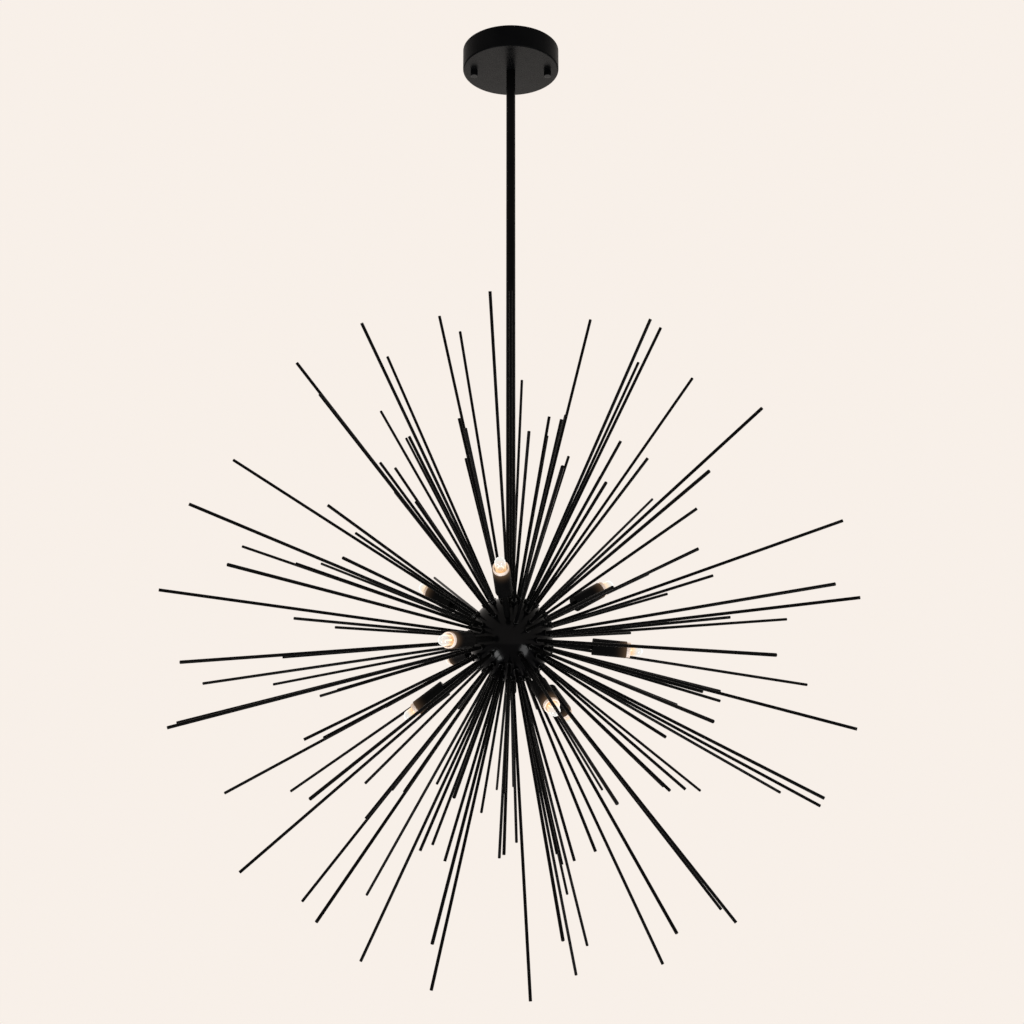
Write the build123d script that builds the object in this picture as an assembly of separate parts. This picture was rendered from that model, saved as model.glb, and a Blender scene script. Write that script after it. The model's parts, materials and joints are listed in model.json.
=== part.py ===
from build123d import *
from itertools import combinations
from math import acos, cos, degrees, radians, sin, sqrt
import os

# A sputnik chandelier: a hollow ball under a three-piece stem and a round canopy.
# Straight rods of two lengths stand out of the ball in level rows, and nine push-in
# capsule lamps sit between them in cups on short arms.
# Millimetres, +Z up. The origin is the middle of the canopy on the ceiling plane.
# Azimuth 0 points along -Y, towards the viewer, and grows towards +X.

# ---- Fits ---------------------------------------------------------------------------
FIT = 0.05                    # radial clearance of a thread, pin or wire in its hole
STUD_HOLE_GAP = 0.15          # radial clearance of a stud in the canopy's hole
LAMP_GAP = 0.3                # air between a lamp and what it is pushed into
BLIND_GAP = 0.5               # air past the end of a stud or nipple in a blind hole

# ---- Canopy, ceiling bracket and their fasteners ------------------------------------
CANOPY_D = 135.0
CANOPY_H = 30.0
CANOPY_WALL = 1.2
CANOPY_EDGE = 2.0             # outer radius of the lower edge
BRACKET_L = 120.0
BRACKET_W = 22.0
BRACKET_T = 2.0
BRACKET_CORNER = 3.0
BRACKET_WIRE_HOLE_D = 10.0
BOX_SLOT_SPACING = 80.5       # middle to middle of the slots for the ceiling box screws
BOX_SLOT_L = 12.5
BOX_SLOT_W = 4.5
STUD_SPACING = 103.6
STUD_D = 4.0
STUD_REACH = 5.0              # stud below the canopy
STUD_TIP = 0.4
STUD_NUT_AF = 7.0             # across flats
STUD_NUT_H = 3.2
CAP_NUT_D = 10.0
CAP_NUT_H = 7.5
CAP_NUT_EDGE = 0.8
GROUND_SCREW_X = 20.0
GROUND_SCREW_D = 4.0
GROUND_HEAD_D = 8.0
GROUND_HEAD_H = 2.4
GROUND_SLOT_L = 5.0           # arms of the cross in the screw's head
GROUND_SLOT_W = 0.9
GROUND_SLOT_DEPTH = 1.2

# ---- Stem ---------------------------------------------------------------------------
TUBE_D = 12.7
TOP_TUBE_L = 141.4
MIDDLE_TUBE_L = 132.6
BOTTOM_TUBE_L = 467.0
TUBE_CHAMFER = 0.5
NIPPLE_D = 10.0
NIPPLE_BORE = 7.5
NIPPLE_GRIP = 12.0            # nipple inside each tube
WASHER_D = 18.0
WASHER_T = 1.0
STEM_NUT_AF = 14.0
STEM_NUT_H = 4.0
THREAD_PROUD = 1.0            # thread showing past a nut

# ---- Ball ---------------------------------------------------------------------------
BALL_D = 110.0
BALL_WALL = 2.0
TOP_COLLAR_D = 16.0
TOP_COLLAR_H = 8.0            # above the top of the ball
TOP_COLLAR_EDGE = 1.0
FINIAL_D = 15.0
FINIAL_H = 17.0               # below the bottom of the ball
FINIAL_EDGE = 3.5
FINIAL_GRIP = 11.0            # nipple inside the finial, past the bottom of the ball
WINDOW_W = 4.0                # windows in the hub nipple that let the wires out
WINDOW_H = 10.0

# ---- Rods ---------------------------------------------------------------------------
LONG_ROD = 395.0              # ball's surface to the tip of a long rod
SHORT_ROD = 240.0
ROD_D = 4.0
ROD_TIP = 0.3
ROD_COLLAR_D = 7.5
ROD_COLLAR_H = 3.5
ROD_COLLAR_EDGE = 0.5
ROD_SPIGOT_D = 3.0
ROD_SPIGOT_REACH = 3.5        # past the inside of the ball's wall

# Rows of rods from the top down: elevation, azimuth of the first place, and what stands
# at each evenly spaced place: L a long rod, S a short one, and a dot an empty place.
ROD_ROWS = [
    (76.0, 0.0, "LSLSSLL."),
    (65.0, -5.0, "LSLLSLSLSS"),
    (55.0, 11.0, "SLSLSL.LSSLS"),
    (48.0, 22.5, ".S....LS.L.."),
    (33.0, 2.7, ".SLS..L...SLSLS"),
    (18.0, 5.0, "LLSLSSLSLLLSLS."),
    (6.0, -1.3, ".SLLSLSSS.SSLL."),
    (-6.5, 14.0, ".L..LLSS.LLSL.."),
    (-15.5, 4.0, ".LSLSS.SSSSLLS."),
    (-26.5, 15.2, "LSLLLLLLLLLSSL."),
    (-41.0, 11.0, "S.SSS..SS.SL.SS"),
    (-51.0, 13.0, "LLLLSLSLLSLL"),
    (-65.0, 26.4, "SSL.LS.SLSLS"),
    (-75.0, 11.5, "LSSLS.S."),
]

# Rods that lean off their place: (row, place) and the degrees to add to the azimuth and
# the elevation. Rows count from 1 at the top, and places from 0 at the first azimuth.
LEANING_RODS = {
    (1, 5): (5, 2), (1, 6): (4, 1.5),
    (2, 0): (-2, -2), (2, 2): (0.5, -3), (2, 3): (12, -1.5), (2, 8): (14, -5), (2, 9): (1, 4.5),
    (3, 0): (-4, -3), (3, 2): (-14, 0.5), (3, 7): (5, -2), (3, 9): (-12, -1.5), (3, 10): (6, -1),
    (4, 1): (14, 1.5), (4, 6): (10, 0), (4, 7): (4, 0), (4, 9): (-1.5, 1.5),
    (5, 6): (-3, 0.5), (5, 13): (12, -1), (5, 14): (-3, -6),
    (6, 0): (2, -1), (6, 5): (2, -2), (6, 9): (3, 1), (6, 10): (2, 1.5), (6, 11): (12, 0), (6, 12): (5, 0),
    (6, 13): (0, -3.5),
    (7, 2): (7, -1.5), (7, 3): (-4, -2), (7, 5): (-3, 0), (7, 13): (7, 0),
    (8, 9): (3, 1), (8, 11): (2, 1), (8, 12): (3, 0),
    (9, 10): (3, 2), (9, 11): (0, 1.5),
    (10, 1): (3, 0), (10, 3): (2, -2), (10, 9): (2, 0), (10, 13): (2.5, 0.5),
    (11, 0): (-13, 0), (11, 4): (6, 0.5), (11, 8): (5, 1), (11, 10): (-10, 1.5), (11, 13): (4, 0),
    (11, 14): (-4, -1.5),
    (12, 0): (-2, 1), (12, 1): (-4, 1), (12, 7): (2, 1), (12, 8): (-1, 1.5), (12, 10): (1.5, 3),
    (13, 10): (0, -3.5),
    (14, 2): (-10, 1), (14, 3): (-14, 0), (14, 6): (5, 2),
}

# ---- Lamps --------------------------------------------------------------------------
# Rows of lamps from the top down: elevation and azimuth of the first lamp.
LAMP_ROWS = [
    (28.0, -5.0),
    (-5.5, -29.0),
    (-36.5, 23.5),
]
LAMPS_PER_ROW = 3

ARM_L = 52.0                  # ball's surface to the cup
ARM_D = 8.0
ARM_THREAD_D = 6.0
ARM_BORE = 4.2
ARM_NUT_AF = 9.0
ARM_NUT_H = 3.0
CUP_D = 22.0
CUP_L = 45.0
CUP_WALL = 1.0
CUP_FLOOR = 2.0
CUP_EDGE = 1.0
SLEEVE_WALL = 1.1
SLEEVE_PROUD = 5.0            # sleeve standing out of the cup
SLEEVE_SKIRT = 12.0           # sleeve round the holder, below the lip
SLEEVE_LIP_T = 1.5            # lip that holds the holder down
SLEEVE_LIP_BORE = 15.0
THREAD_PITCH = 1.5
THREAD_DEPTH = 0.4
THREAD_TURNS = 6
HOLDER_L = 27.0
CHAMBER_D = 12.5              # wiring space in the holder's foot
CHAMBER_H = 9.0
POCKET_W = 3.6                # pocket in the holder for a pin and its contact
CONTACT_T = 0.5
CONTACT_W = 2.8
CONTACT_L = 15.0              # contact with its spring, from the foot up
FEET_GAP = 0.8                # between the feet of a holder's two contacts

PIN_PITCH = 9.0
PIN_W = 2.4
PIN_T = 0.8
PIN_L = 14.0
PIN_EYE = 0.9                 # width of the opening inside a pin's loop
LEAD_IN_D = 0.6
SEAL_W = 13.0
SEAL_T = 4.4
SEAL_L = 5.7
BULB_D = 13.5
BULB_L = 32.0
BULB_WALL = 1.1
BULB_FLOOR = 2.0
FILAMENT_D = 1.6
FILAMENT_HEIGHT = 15.0        # filament above the inside of the bulb's floor

# ---- Wires --------------------------------------------------------------------------
MAIN_LEAD_D = 1.8
MAIN_LEAD_RADIUS = 2.2        # leads round the middle of the stem's bore
MAIN_LEAD_BEND = 3.0
MAIN_LEAD_TOP = 8.0           # below the ceiling
MAIN_LEADS = 3
LAMP_LEAD_D = 1.6
LAMP_LEAD_SPACING = 1.8
BLOCK_D = 32.0                # junction block on the hub nipple
BLOCK_H = 30.0
PORT_D = 4.0
PORT_START = 12.0             # inner end of a lamp's port, from the ball's centre
MAIN_PORT_END = 9.0           # outer end of a main lead's port
FIRST_MAIN_AZIMUTH = 60.0

# ---- Levels and distances that follow -----------------------------------------------
LOW_SIDE = (Align.CENTER, Align.CENTER, Align.MIN)

ball_r = BALL_D / 2
ball_in = ball_r - BALL_WALL
tube_bore = NIPPLE_D + 2 * FIT
canopy_floor = -CANOPY_H + CANOPY_WALL
top_joint = -CANOPY_H - TOP_TUBE_L
middle_joint = top_joint - MIDDLE_TUBE_L
stem_foot = middle_joint - BOTTOM_TUBE_L
hub_z = stem_foot - TOP_COLLAR_H - ball_r
HUB = (0, 0, hub_z)

# Distances from the ball's centre along a lamp's axis.
cup_foot = ball_r + ARM_L
cup_floor = cup_foot + CUP_FLOOR
cup_mouth = cup_foot + CUP_L
holder_top = cup_floor + HOLDER_L
chamber_top = cup_floor + CHAMBER_H
seal_foot = holder_top + LAMP_GAP
bulb_foot = seal_foot + SEAL_L
pin_tip = seal_foot - PIN_L
contact_foot = chamber_top - CONTACT_T


# ---- Placing ------------------------------------------------------------------------
def outward(azimuth, elevation):
    """Location at the ball's centre whose z axis points along a rod or a lamp."""
    a = radians(azimuth)
    e = radians(elevation)
    axis = (sin(a) * cos(e), -cos(a) * cos(e), sin(e))
    level = (cos(a), sin(a), 0)
    return Location(Plane(origin=HUB, x_dir=level, z_dir=axis))


def rod_places():
    """Row number, azimuth, elevation and letter of every rod."""
    for row, (elevation, first, letters) in enumerate(ROD_ROWS, start=1):
        for place, letter in enumerate(letters):
            sideways, upwards = LEANING_RODS.get((row, place), (0, 0))
            azimuth = first + place * 360 / len(letters) + sideways
            if letter != ".":
                yield row, azimuth, elevation + upwards, letter


def lamp_places():
    """Azimuth and elevation of every lamp, from the top row down."""
    for elevation, first in LAMP_ROWS:
        for place in range(LAMPS_PER_ROW):
            yield first + place * 360 / LAMPS_PER_ROW, elevation


def at_hub(solid):
    return Location(HUB) * solid


def seat_on_ball(hole_d, radius=ball_r):
    """Height at which a flat face rests on the rim of a hole in the ball."""
    return sqrt(radius**2 - (hole_d / 2) ** 2)


# ---- Plain forms --------------------------------------------------------------------
def rod_z(diameter, low, high):
    """Cylinder on the z axis between two heights."""
    return Pos(0, 0, low) * Cylinder(diameter / 2, high - low, align=LOW_SIDE)


def pipe_z(outer, bore, low, high):
    return rod_z(outer, low, high) - rod_z(bore, low - 1, high + 1)


def bar_z(width, depth, low, high):
    """Box round the z axis between two heights."""
    return Pos(0, 0, low) * Box(width, depth, high - low, align=LOW_SIDE)


def nut(across_flats, bore, low, height):
    outline = RegularPolygon(across_flats / 2, 6, major_radius=False)
    body = Pos(0, 0, low) * extrude(outline, height)
    return body - rod_z(bore, low - 1, low + height + 1)


def round_edges_at(solid, height, radius):
    """Round the circular edges that lie at one height."""
    edges = solid.edges().filter_by(GeomType.CIRCLE)
    edges = edges.filter_by(lambda edge: abs(edge.center().Z - height) < 1e-6)
    return fillet(edges, radius)


# ---- Ceiling bracket and canopy -----------------------------------------------------
def mounting_bracket():
    outline = RectangleRounded(BRACKET_L, BRACKET_W, BRACKET_CORNER)
    outline -= Circle(BRACKET_WIRE_HOLE_D / 2)
    outline -= Pos(GROUND_SCREW_X, 0) * Circle(GROUND_SCREW_D / 2 + FIT)
    for side in (-1, 1):
        slot = SlotOverall(BOX_SLOT_L, BOX_SLOT_W)
        outline -= Pos(side * BOX_SLOT_SPACING / 2, 0) * slot
        outline -= Pos(side * STUD_SPACING / 2, 0) * Circle(STUD_D / 2 + FIT)
    return Pos(0, 0, -BRACKET_T) * extrude(outline, BRACKET_T)


def at_studs(solid):
    return [Pos(side * STUD_SPACING / 2, 0, 0) * solid for side in (-1, 1)]


def stud():
    low = -CANOPY_H - STUD_REACH
    body = rod_z(STUD_D, low, 0)
    tip = body.edges().filter_by(GeomType.CIRCLE).sort_by(Axis.Z)[0]
    return chamfer(tip, STUD_TIP)


def stud_lock_nut():
    return nut(STUD_NUT_AF, STUD_D + 2 * FIT, -BRACKET_T - STUD_NUT_H, STUD_NUT_H)


def cap_nut():
    low = -CANOPY_H - CAP_NUT_H
    body = round_edges_at(rod_z(CAP_NUT_D, low, -CANOPY_H), low, CAP_NUT_EDGE)
    hole_end = -CANOPY_H - STUD_REACH - BLIND_GAP
    return body - rod_z(STUD_D + 2 * FIT, hole_end, -CANOPY_H + 1)


def ground_screw():
    head_low = -BRACKET_T - GROUND_HEAD_H
    screw = rod_z(GROUND_SCREW_D, -BRACKET_T - 1, 0)
    screw += rod_z(GROUND_HEAD_D, head_low, -BRACKET_T)
    for width, depth in ((GROUND_SLOT_L, GROUND_SLOT_W), (GROUND_SLOT_W, GROUND_SLOT_L)):
        screw -= bar_z(width, depth, head_low - 1, head_low + GROUND_SLOT_DEPTH)
    return Pos(GROUND_SCREW_X, 0, 0) * screw


def canopy():
    body = round_edges_at(rod_z(CANOPY_D, -CANOPY_H, 0), -CANOPY_H, CANOPY_EDGE)
    space = rod_z(CANOPY_D - 2 * CANOPY_WALL, canopy_floor, 1)
    inner_edge = max(CANOPY_EDGE - CANOPY_WALL, CANOPY_WALL / 2)
    body -= round_edges_at(space, canopy_floor, inner_edge)
    body -= rod_z(tube_bore, -CANOPY_H - 1, canopy_floor + 1)
    hole = rod_z(STUD_D + 2 * STUD_HOLE_GAP, -CANOPY_H - 1, canopy_floor + 1)
    return body - at_studs(hole)


# ---- Stem ---------------------------------------------------------------------------
def stem_tube(low, high):
    tube = rod_z(TUBE_D, low, high)
    tube = chamfer(tube.edges().filter_by(GeomType.CIRCLE), TUBE_CHAMFER)
    return tube - rod_z(tube_bore, low - 1, high + 1)


def stem_nut_low():
    return canopy_floor + WASHER_T


def downrod_nipples():
    top_end = stem_nut_low() + STEM_NUT_H + THREAD_PROUD
    spans = [(-CANOPY_H - NIPPLE_GRIP, top_end)]
    for joint in (top_joint, middle_joint):
        spans.append((joint - NIPPLE_GRIP, joint + NIPPLE_GRIP))
    return [pipe_z(NIPPLE_D, NIPPLE_BORE, low, high) for low, high in spans]


def hub_nipple():
    low = hub_z - ball_r - FINIAL_GRIP
    body = pipe_z(NIPPLE_D, NIPPLE_BORE, low, stem_foot + NIPPLE_GRIP)
    window = Box(NIPPLE_D, WINDOW_W, WINDOW_H, align=(Align.MIN, Align.CENTER, Align.MIN))
    window = Pos(0, 0, -MAIN_LEAD_D) * window
    for azimuth in main_lead_azimuths():
        body -= at_hub(Rot(0, 0, azimuth) * window)
    return body


def ball_top_collar():
    high = ball_r + TOP_COLLAR_H
    body = round_edges_at(rod_z(TOP_COLLAR_D, seat_on_ball(tube_bore), high), high,
                          TOP_COLLAR_EDGE)
    return at_hub(body - rod_z(tube_bore, 0, high + 1))


def bottom_finial():
    low = -ball_r - FINIAL_H
    body = round_edges_at(rod_z(FINIAL_D, low, -seat_on_ball(tube_bore)), low, FINIAL_EDGE)
    hole_end = -ball_r - FINIAL_GRIP - BLIND_GAP
    return at_hub(body - rod_z(tube_bore, hole_end, 0))


def hub_nuts():
    """Nuts that clamp each half of the ball from inside."""
    seat = seat_on_ball(2 * STEM_NUT_AF / sqrt(3), ball_in)
    upper = nut(STEM_NUT_AF, tube_bore, seat - STEM_NUT_H, STEM_NUT_H)
    return [at_hub(upper), at_hub(Rot(180, 0, 0) * upper)]


# ---- Ball ---------------------------------------------------------------------------
def ball_half(upper):
    """Half of the ball, with the holes for its rods, its arms and the hub nipple."""
    half_space = Pos(0, 0, 0 if upper else -BALL_D) * Box(
        2 * BALL_D, 2 * BALL_D, BALL_D, align=LOW_SIDE)
    shell = at_hub((Sphere(ball_r) - Sphere(ball_in)) & half_space)
    rod_hole = rod_z(ROD_SPIGOT_D + 2 * FIT, ball_in - 1, ball_r + 1)
    arm_hole = rod_z(ARM_THREAD_D + 2 * FIT, ball_in - 1, ball_r + 1)
    stem_hole = rod_z(tube_bore, ball_in - 1, ball_r + 1)
    holes = [outward(azimuth, elevation) * rod_hole
             for _, azimuth, elevation, _ in rod_places() if (elevation > 0) == upper]
    holes += [outward(azimuth, elevation) * arm_hole
              for azimuth, elevation in lamp_places() if (elevation > 0) == upper]
    holes.append(outward(0, 90 if upper else -90) * stem_hole)
    return shell - holes


# ---- Rods ---------------------------------------------------------------------------
def rod(length):
    """A rod with its collar and threaded end, along z from the ball's centre."""
    seat = seat_on_ball(ROD_SPIGOT_D + 2 * FIT)
    tip = ball_r + length
    bar = rod_z(ROD_D, seat, tip)
    bar = chamfer(bar.edges().filter_by(GeomType.CIRCLE).sort_by(Axis.Z)[-1], ROD_TIP)
    collar_top = ball_r + ROD_COLLAR_H
    collar = rod_z(ROD_COLLAR_D, seat, collar_top)
    collar = round_edges_at(collar, collar_top, ROD_COLLAR_EDGE)
    spigot = rod_z(ROD_SPIGOT_D, ball_in - ROD_SPIGOT_REACH, seat + 1)
    return bar + collar + spigot


# ---- Lamp arms, cups and holders, along z from the ball's centre --------------------
def arm_nut_seat():
    return seat_on_ball(2 * ARM_NUT_AF / sqrt(3), ball_in)


def lamp_arm():
    seat = seat_on_ball(ARM_THREAD_D + 2 * FIT)
    thread_low = arm_nut_seat() - ARM_NUT_H - THREAD_PROUD
    thread_high = cup_floor + ARM_NUT_H + THREAD_PROUD
    arm = rod_z(ARM_D, seat, cup_foot) + rod_z(ARM_THREAD_D, thread_low, thread_high)
    return arm - rod_z(ARM_BORE, thread_low - 1, thread_high + 1)


def arm_lock_nuts():
    bore = ARM_THREAD_D + 2 * FIT
    in_ball = nut(ARM_NUT_AF, bore, arm_nut_seat() - ARM_NUT_H, ARM_NUT_H)
    in_cup = nut(ARM_NUT_AF, bore, cup_floor, ARM_NUT_H)
    return [in_ball, in_cup]


def lamp_cup():
    body = rod_z(CUP_D, cup_foot, cup_mouth)
    body = round_edges_at(body, cup_foot, CUP_EDGE)
    body -= rod_z(CUP_D - 2 * CUP_WALL, cup_floor, cup_mouth + 1)
    return body - rod_z(ARM_THREAD_D + 2 * FIT, cup_foot - 1, cup_floor + 1)


def sleeve_outer_d():
    return CUP_D - 2 * CUP_WALL - 2 * FIT


def sleeve_bore():
    return sleeve_outer_d() - 2 * SLEEVE_WALL


def holder_sleeve():
    """Threaded sleeve that holds the lamp holder down in its cup."""
    low = holder_top - SLEEVE_SKIRT
    high = cup_mouth + SLEEVE_PROUD
    body = rod_z(sleeve_outer_d(), low, high)
    lip_top = holder_top + SLEEVE_LIP_T
    body -= rod_z(sleeve_bore(), low - 1, holder_top)
    body -= rod_z(sleeve_bore(), lip_top, high + 1)
    body -= rod_z(SLEEVE_LIP_BORE, holder_top - 1, lip_top + 1)
    for turn in range(THREAD_TURNS):
        groove_high = high - (turn + 0.5) * THREAD_PITCH
        root_d = sleeve_outer_d() - 2 * THREAD_DEPTH
        body -= pipe_z(CUP_D, root_d, groove_high - THREAD_PITCH / 2, groove_high)
    return body


def pocket_span():
    """Inner and outer edge of a pin's pocket, from the lamp's axis."""
    inner = PIN_PITCH / 2 - PIN_T / 2 - 2 * LAMP_GAP
    outer = PIN_PITCH / 2 + PIN_T / 2 + LAMP_GAP + CONTACT_T
    return inner, outer


def lamp_holder():
    """Ceramic body with a pocket for each pin and a wiring chamber in its foot."""
    body = rod_z(sleeve_bore() - 2 * FIT, cup_floor, holder_top)
    body -= rod_z(CHAMBER_D, cup_floor - 1, chamber_top)
    inner, outer = pocket_span()
    pocket = Box(outer - inner, POCKET_W, holder_top - chamber_top + 2, align=LOW_SIDE)
    for side in (-1, 1):
        body -= Pos(side * (inner + outer) / 2, 0, chamber_top - 1) * pocket
    return body


def holder_contacts():
    """The spring strip beside each pin, with a foot that its lead ends on."""
    outer = pocket_span()[1]
    contacts = []
    for side in (-1, 1):
        strip_x = side * (outer - CONTACT_T / 2)
        strip = bar_z(CONTACT_T, CONTACT_W, contact_foot, contact_foot + CONTACT_L)
        foot_l = outer - FEET_GAP / 2
        foot_x = side * (outer - foot_l / 2)
        foot = bar_z(foot_l, CONTACT_W, contact_foot, chamber_top)
        contacts.append(Pos(strip_x, 0, 0) * strip + Pos(foot_x, 0, 0) * foot)
    return contacts


# ---- Capsule lamps ------------------------------------------------------------------
def lamp_glass():
    bulb_r = BULB_D / 2
    inside_r = bulb_r - BULB_WALL
    tip = bulb_foot + BULB_L
    glass = rod_z(BULB_D, bulb_foot, tip - bulb_r) + Pos(0, 0, tip - bulb_r) * Sphere(bulb_r)
    glass += bar_z(SEAL_W, SEAL_T, seal_foot, bulb_foot + BULB_FLOOR / 2)
    inside = rod_z(2 * inside_r, bulb_foot + BULB_FLOOR, tip - bulb_r)
    inside += Pos(0, 0, tip - bulb_r) * Sphere(inside_r)
    glass -= inside
    hole = rod_z(LEAD_IN_D + 2 * FIT, seal_foot - 1, bulb_foot + BULB_FLOOR + 1)
    return glass - [Pos(side * PIN_PITCH / 2, 0, 0) * hole for side in (-1, 1)]


def pin_loop():
    """One looped pin, flat in x, with its lead-in wire up to the filament."""
    outline = Pos(0, PIN_W / 2) * Rectangle(PIN_W, PIN_L - PIN_W / 2,
                                            align=(Align.CENTER, Align.MIN))
    outline += Pos(0, PIN_W / 2) * Circle(PIN_W / 2)
    eye_l = PIN_L - PIN_W
    outline -= Pos(0, PIN_L / 2) * SlotOverall(eye_l, PIN_EYE, rotation=90)
    flat = Plane(origin=(-PIN_T / 2, 0, pin_tip), x_dir=(0, 1, 0), z_dir=(1, 0, 0))
    loop = extrude(flat * outline, PIN_T)
    return loop + rod_z(LEAD_IN_D, seal_foot - PIN_T / 2, filament_z())


def filament_z():
    return bulb_foot + BULB_FLOOR + FILAMENT_HEIGHT


def lamp_filament():
    """Both pins and lead-ins, joined by the filament, as one piece."""
    piece = Pos(-PIN_PITCH / 2, 0, 0) * pin_loop()
    piece += Pos(PIN_PITCH / 2, 0, 0) * pin_loop()
    coil = Cylinder(FILAMENT_D / 2, PIN_PITCH + LEAD_IN_D, rotation=(0, 90, 0))
    return piece + Pos(0, 0, filament_z()) * coil


# ---- Wires --------------------------------------------------------------------------
def main_lead_azimuths():
    return [FIRST_MAIN_AZIMUTH + n * 360 / MAIN_LEADS for n in range(MAIN_LEADS)]


def main_lead():
    """A lead down the stem that turns out into the junction block, in the xz plane."""
    points = [(MAIN_LEAD_RADIUS, 0, -MAIN_LEAD_TOP), (MAIN_LEAD_RADIUS, 0, hub_z),
              (MAIN_PORT_END, 0, hub_z)]
    route = FilletPolyline(*points, radius=MAIN_LEAD_BEND)
    section = Plane(origin=points[0], z_dir=(0, 0, -1)) * Circle(MAIN_LEAD_D / 2)
    return sweep(section, path=route)


def junction_block():
    """Ring of ports on the hub nipple where the leads of the lamps and the stem meet."""
    block = Cylinder(BLOCK_D / 2, BLOCK_H) - Cylinder(tube_bore / 2, BLOCK_H + 2)
    port = Cylinder(MAIN_LEAD_D / 2 + FIT, MAIN_PORT_END, align=LOW_SIDE)
    main_ports = [Rot(0, 0, azimuth) * Rot(0, 90, 0) * port
                  for azimuth in main_lead_azimuths()]
    block = at_hub(block - main_ports)
    lamp_port = rod_z(PORT_D, PORT_START, BLOCK_D)
    return block - [outward(*place) * lamp_port for place in lamp_places()]


def lamp_leads():
    """The two straight leads of a lamp, from the junction block to the contacts' feet."""
    lead = rod_z(LAMP_LEAD_D, PORT_START, contact_foot)
    return [Pos(side * LAMP_LEAD_SPACING / 2, 0, 0) * lead for side in (-1, 1)]


# ---- The nodes ----------------------------------------------------------------------
def at_lamps(solids):
    """A copy of each solid at every lamp."""
    return [outward(*place) * solid for place in lamp_places() for solid in solids]


def all_nodes():
    nodes = {
        "mounting_bracket": [mounting_bracket()],
        "bracket_studs": at_studs(stud()),
        "stud_lock_nuts": at_studs(stud_lock_nut()),
        "ground_screw": [ground_screw()],
        "canopy": [canopy()],
        "cap_nuts": at_studs(cap_nut()),
        "canopy_washer": [pipe_z(WASHER_D, tube_bore, canopy_floor, stem_nut_low())],
        "canopy_nut": [nut(STEM_NUT_AF, tube_bore, stem_nut_low(), STEM_NUT_H)],
        "downrod_top": [stem_tube(top_joint, -CANOPY_H)],
        "downrod_middle": [stem_tube(middle_joint, top_joint)],
        "downrod_bottom": [stem_tube(stem_foot, middle_joint)],
        "downrod_nipples": downrod_nipples(),
        "ball_top_collar": [ball_top_collar()],
        "ball_upper_shell": [ball_half(upper=True)],
        "ball_lower_shell": [ball_half(upper=False)],
        "hub_nipple": [hub_nipple()],
        "hub_nuts": hub_nuts(),
        "bottom_finial": [bottom_finial()],
        "junction_block": [junction_block()],
        "main_leads": [Rot(0, 0, azimuth) * main_lead() for azimuth in main_lead_azimuths()],
        "lamp_leads": at_lamps(lamp_leads()),
        "lamp_arms": at_lamps([lamp_arm()]),
        "arm_lock_nuts": at_lamps(arm_lock_nuts()),
        "lamp_cups": at_lamps([lamp_cup()]),
        "lamp_holders": at_lamps([lamp_holder()]),
        "holder_contacts": at_lamps(holder_contacts()),
        "holder_sleeves": at_lamps([holder_sleeve()]),
    }
    rods = {"L": rod(LONG_ROD), "S": rod(SHORT_ROD)}
    for row, azimuth, elevation, letter in rod_places():
        name = f"rods_row_{row:02d}"
        nodes.setdefault(name, []).append(outward(azimuth, elevation) * rods[letter])
    glass = lamp_glass()
    filament = lamp_filament()
    for number, place in enumerate(lamp_places(), start=1):
        nodes[f"lamp_{number}_glass"] = [outward(*place) * glass]
        nodes[f"lamp_{number}_filament"] = [outward(*place) * filament]
    return nodes


def angle_between(first, second):
    """Angle in degrees between two places given as azimuth and elevation."""
    (a1, e1), (a2, e2) = [(radians(a), radians(e)) for a, e in (first, second)]
    return degrees(acos(sin(e1) * sin(e2) + cos(e1) * cos(e2) * cos(a1 - a2)))


def main():
    os.makedirs("parts", exist_ok=True)
    for name, solids in all_nodes().items():
        export_step(Compound(children=solids), f"parts/{name}.step")
    rods = [(azimuth, elevation) for _, azimuth, elevation, _ in rod_places()]
    lamps = list(lamp_places())
    rod_angle = min(angle_between(a, b) for a, b in combinations(rods, 2))
    lamp_angle = min(angle_between(rod, lamp) for rod in rods for lamp in lamps)
    print(f"{len(rods)} rods, nearest pair {rod_angle:.1f} degrees apart")
    print(f"{len(lamps)} lamps, nearest rod {lamp_angle:.1f} degrees away")
    print(f"ball's centre {-hub_z:.1f} mm below the ceiling")


main()
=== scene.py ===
import json
from math import acos, cos, pi, radians, sin

import bpy
from mathutils import Matrix, Vector


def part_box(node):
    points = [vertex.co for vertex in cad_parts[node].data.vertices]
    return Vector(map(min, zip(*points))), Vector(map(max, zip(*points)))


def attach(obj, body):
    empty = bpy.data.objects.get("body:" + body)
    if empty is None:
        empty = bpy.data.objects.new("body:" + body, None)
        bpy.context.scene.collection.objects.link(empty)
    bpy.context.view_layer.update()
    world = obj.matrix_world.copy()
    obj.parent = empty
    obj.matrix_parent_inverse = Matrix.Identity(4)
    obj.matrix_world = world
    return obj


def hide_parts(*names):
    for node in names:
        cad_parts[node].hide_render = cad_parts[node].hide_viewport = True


# Looks of a black sputnik chandelier with nine lit capsule lamps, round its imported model.
# Metres, in the model's frame: +Z up, the ceiling at z = 0, the viewer on the -Y side.

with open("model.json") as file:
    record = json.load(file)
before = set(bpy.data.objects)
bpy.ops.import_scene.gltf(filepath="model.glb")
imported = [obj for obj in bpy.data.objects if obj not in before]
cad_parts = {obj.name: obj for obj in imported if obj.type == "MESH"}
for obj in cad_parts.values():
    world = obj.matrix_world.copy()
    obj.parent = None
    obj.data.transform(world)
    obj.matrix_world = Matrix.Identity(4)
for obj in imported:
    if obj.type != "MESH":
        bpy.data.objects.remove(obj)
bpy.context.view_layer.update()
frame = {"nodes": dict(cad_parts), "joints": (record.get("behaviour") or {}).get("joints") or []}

NODES = frame["nodes"]
MM = 0.001

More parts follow.
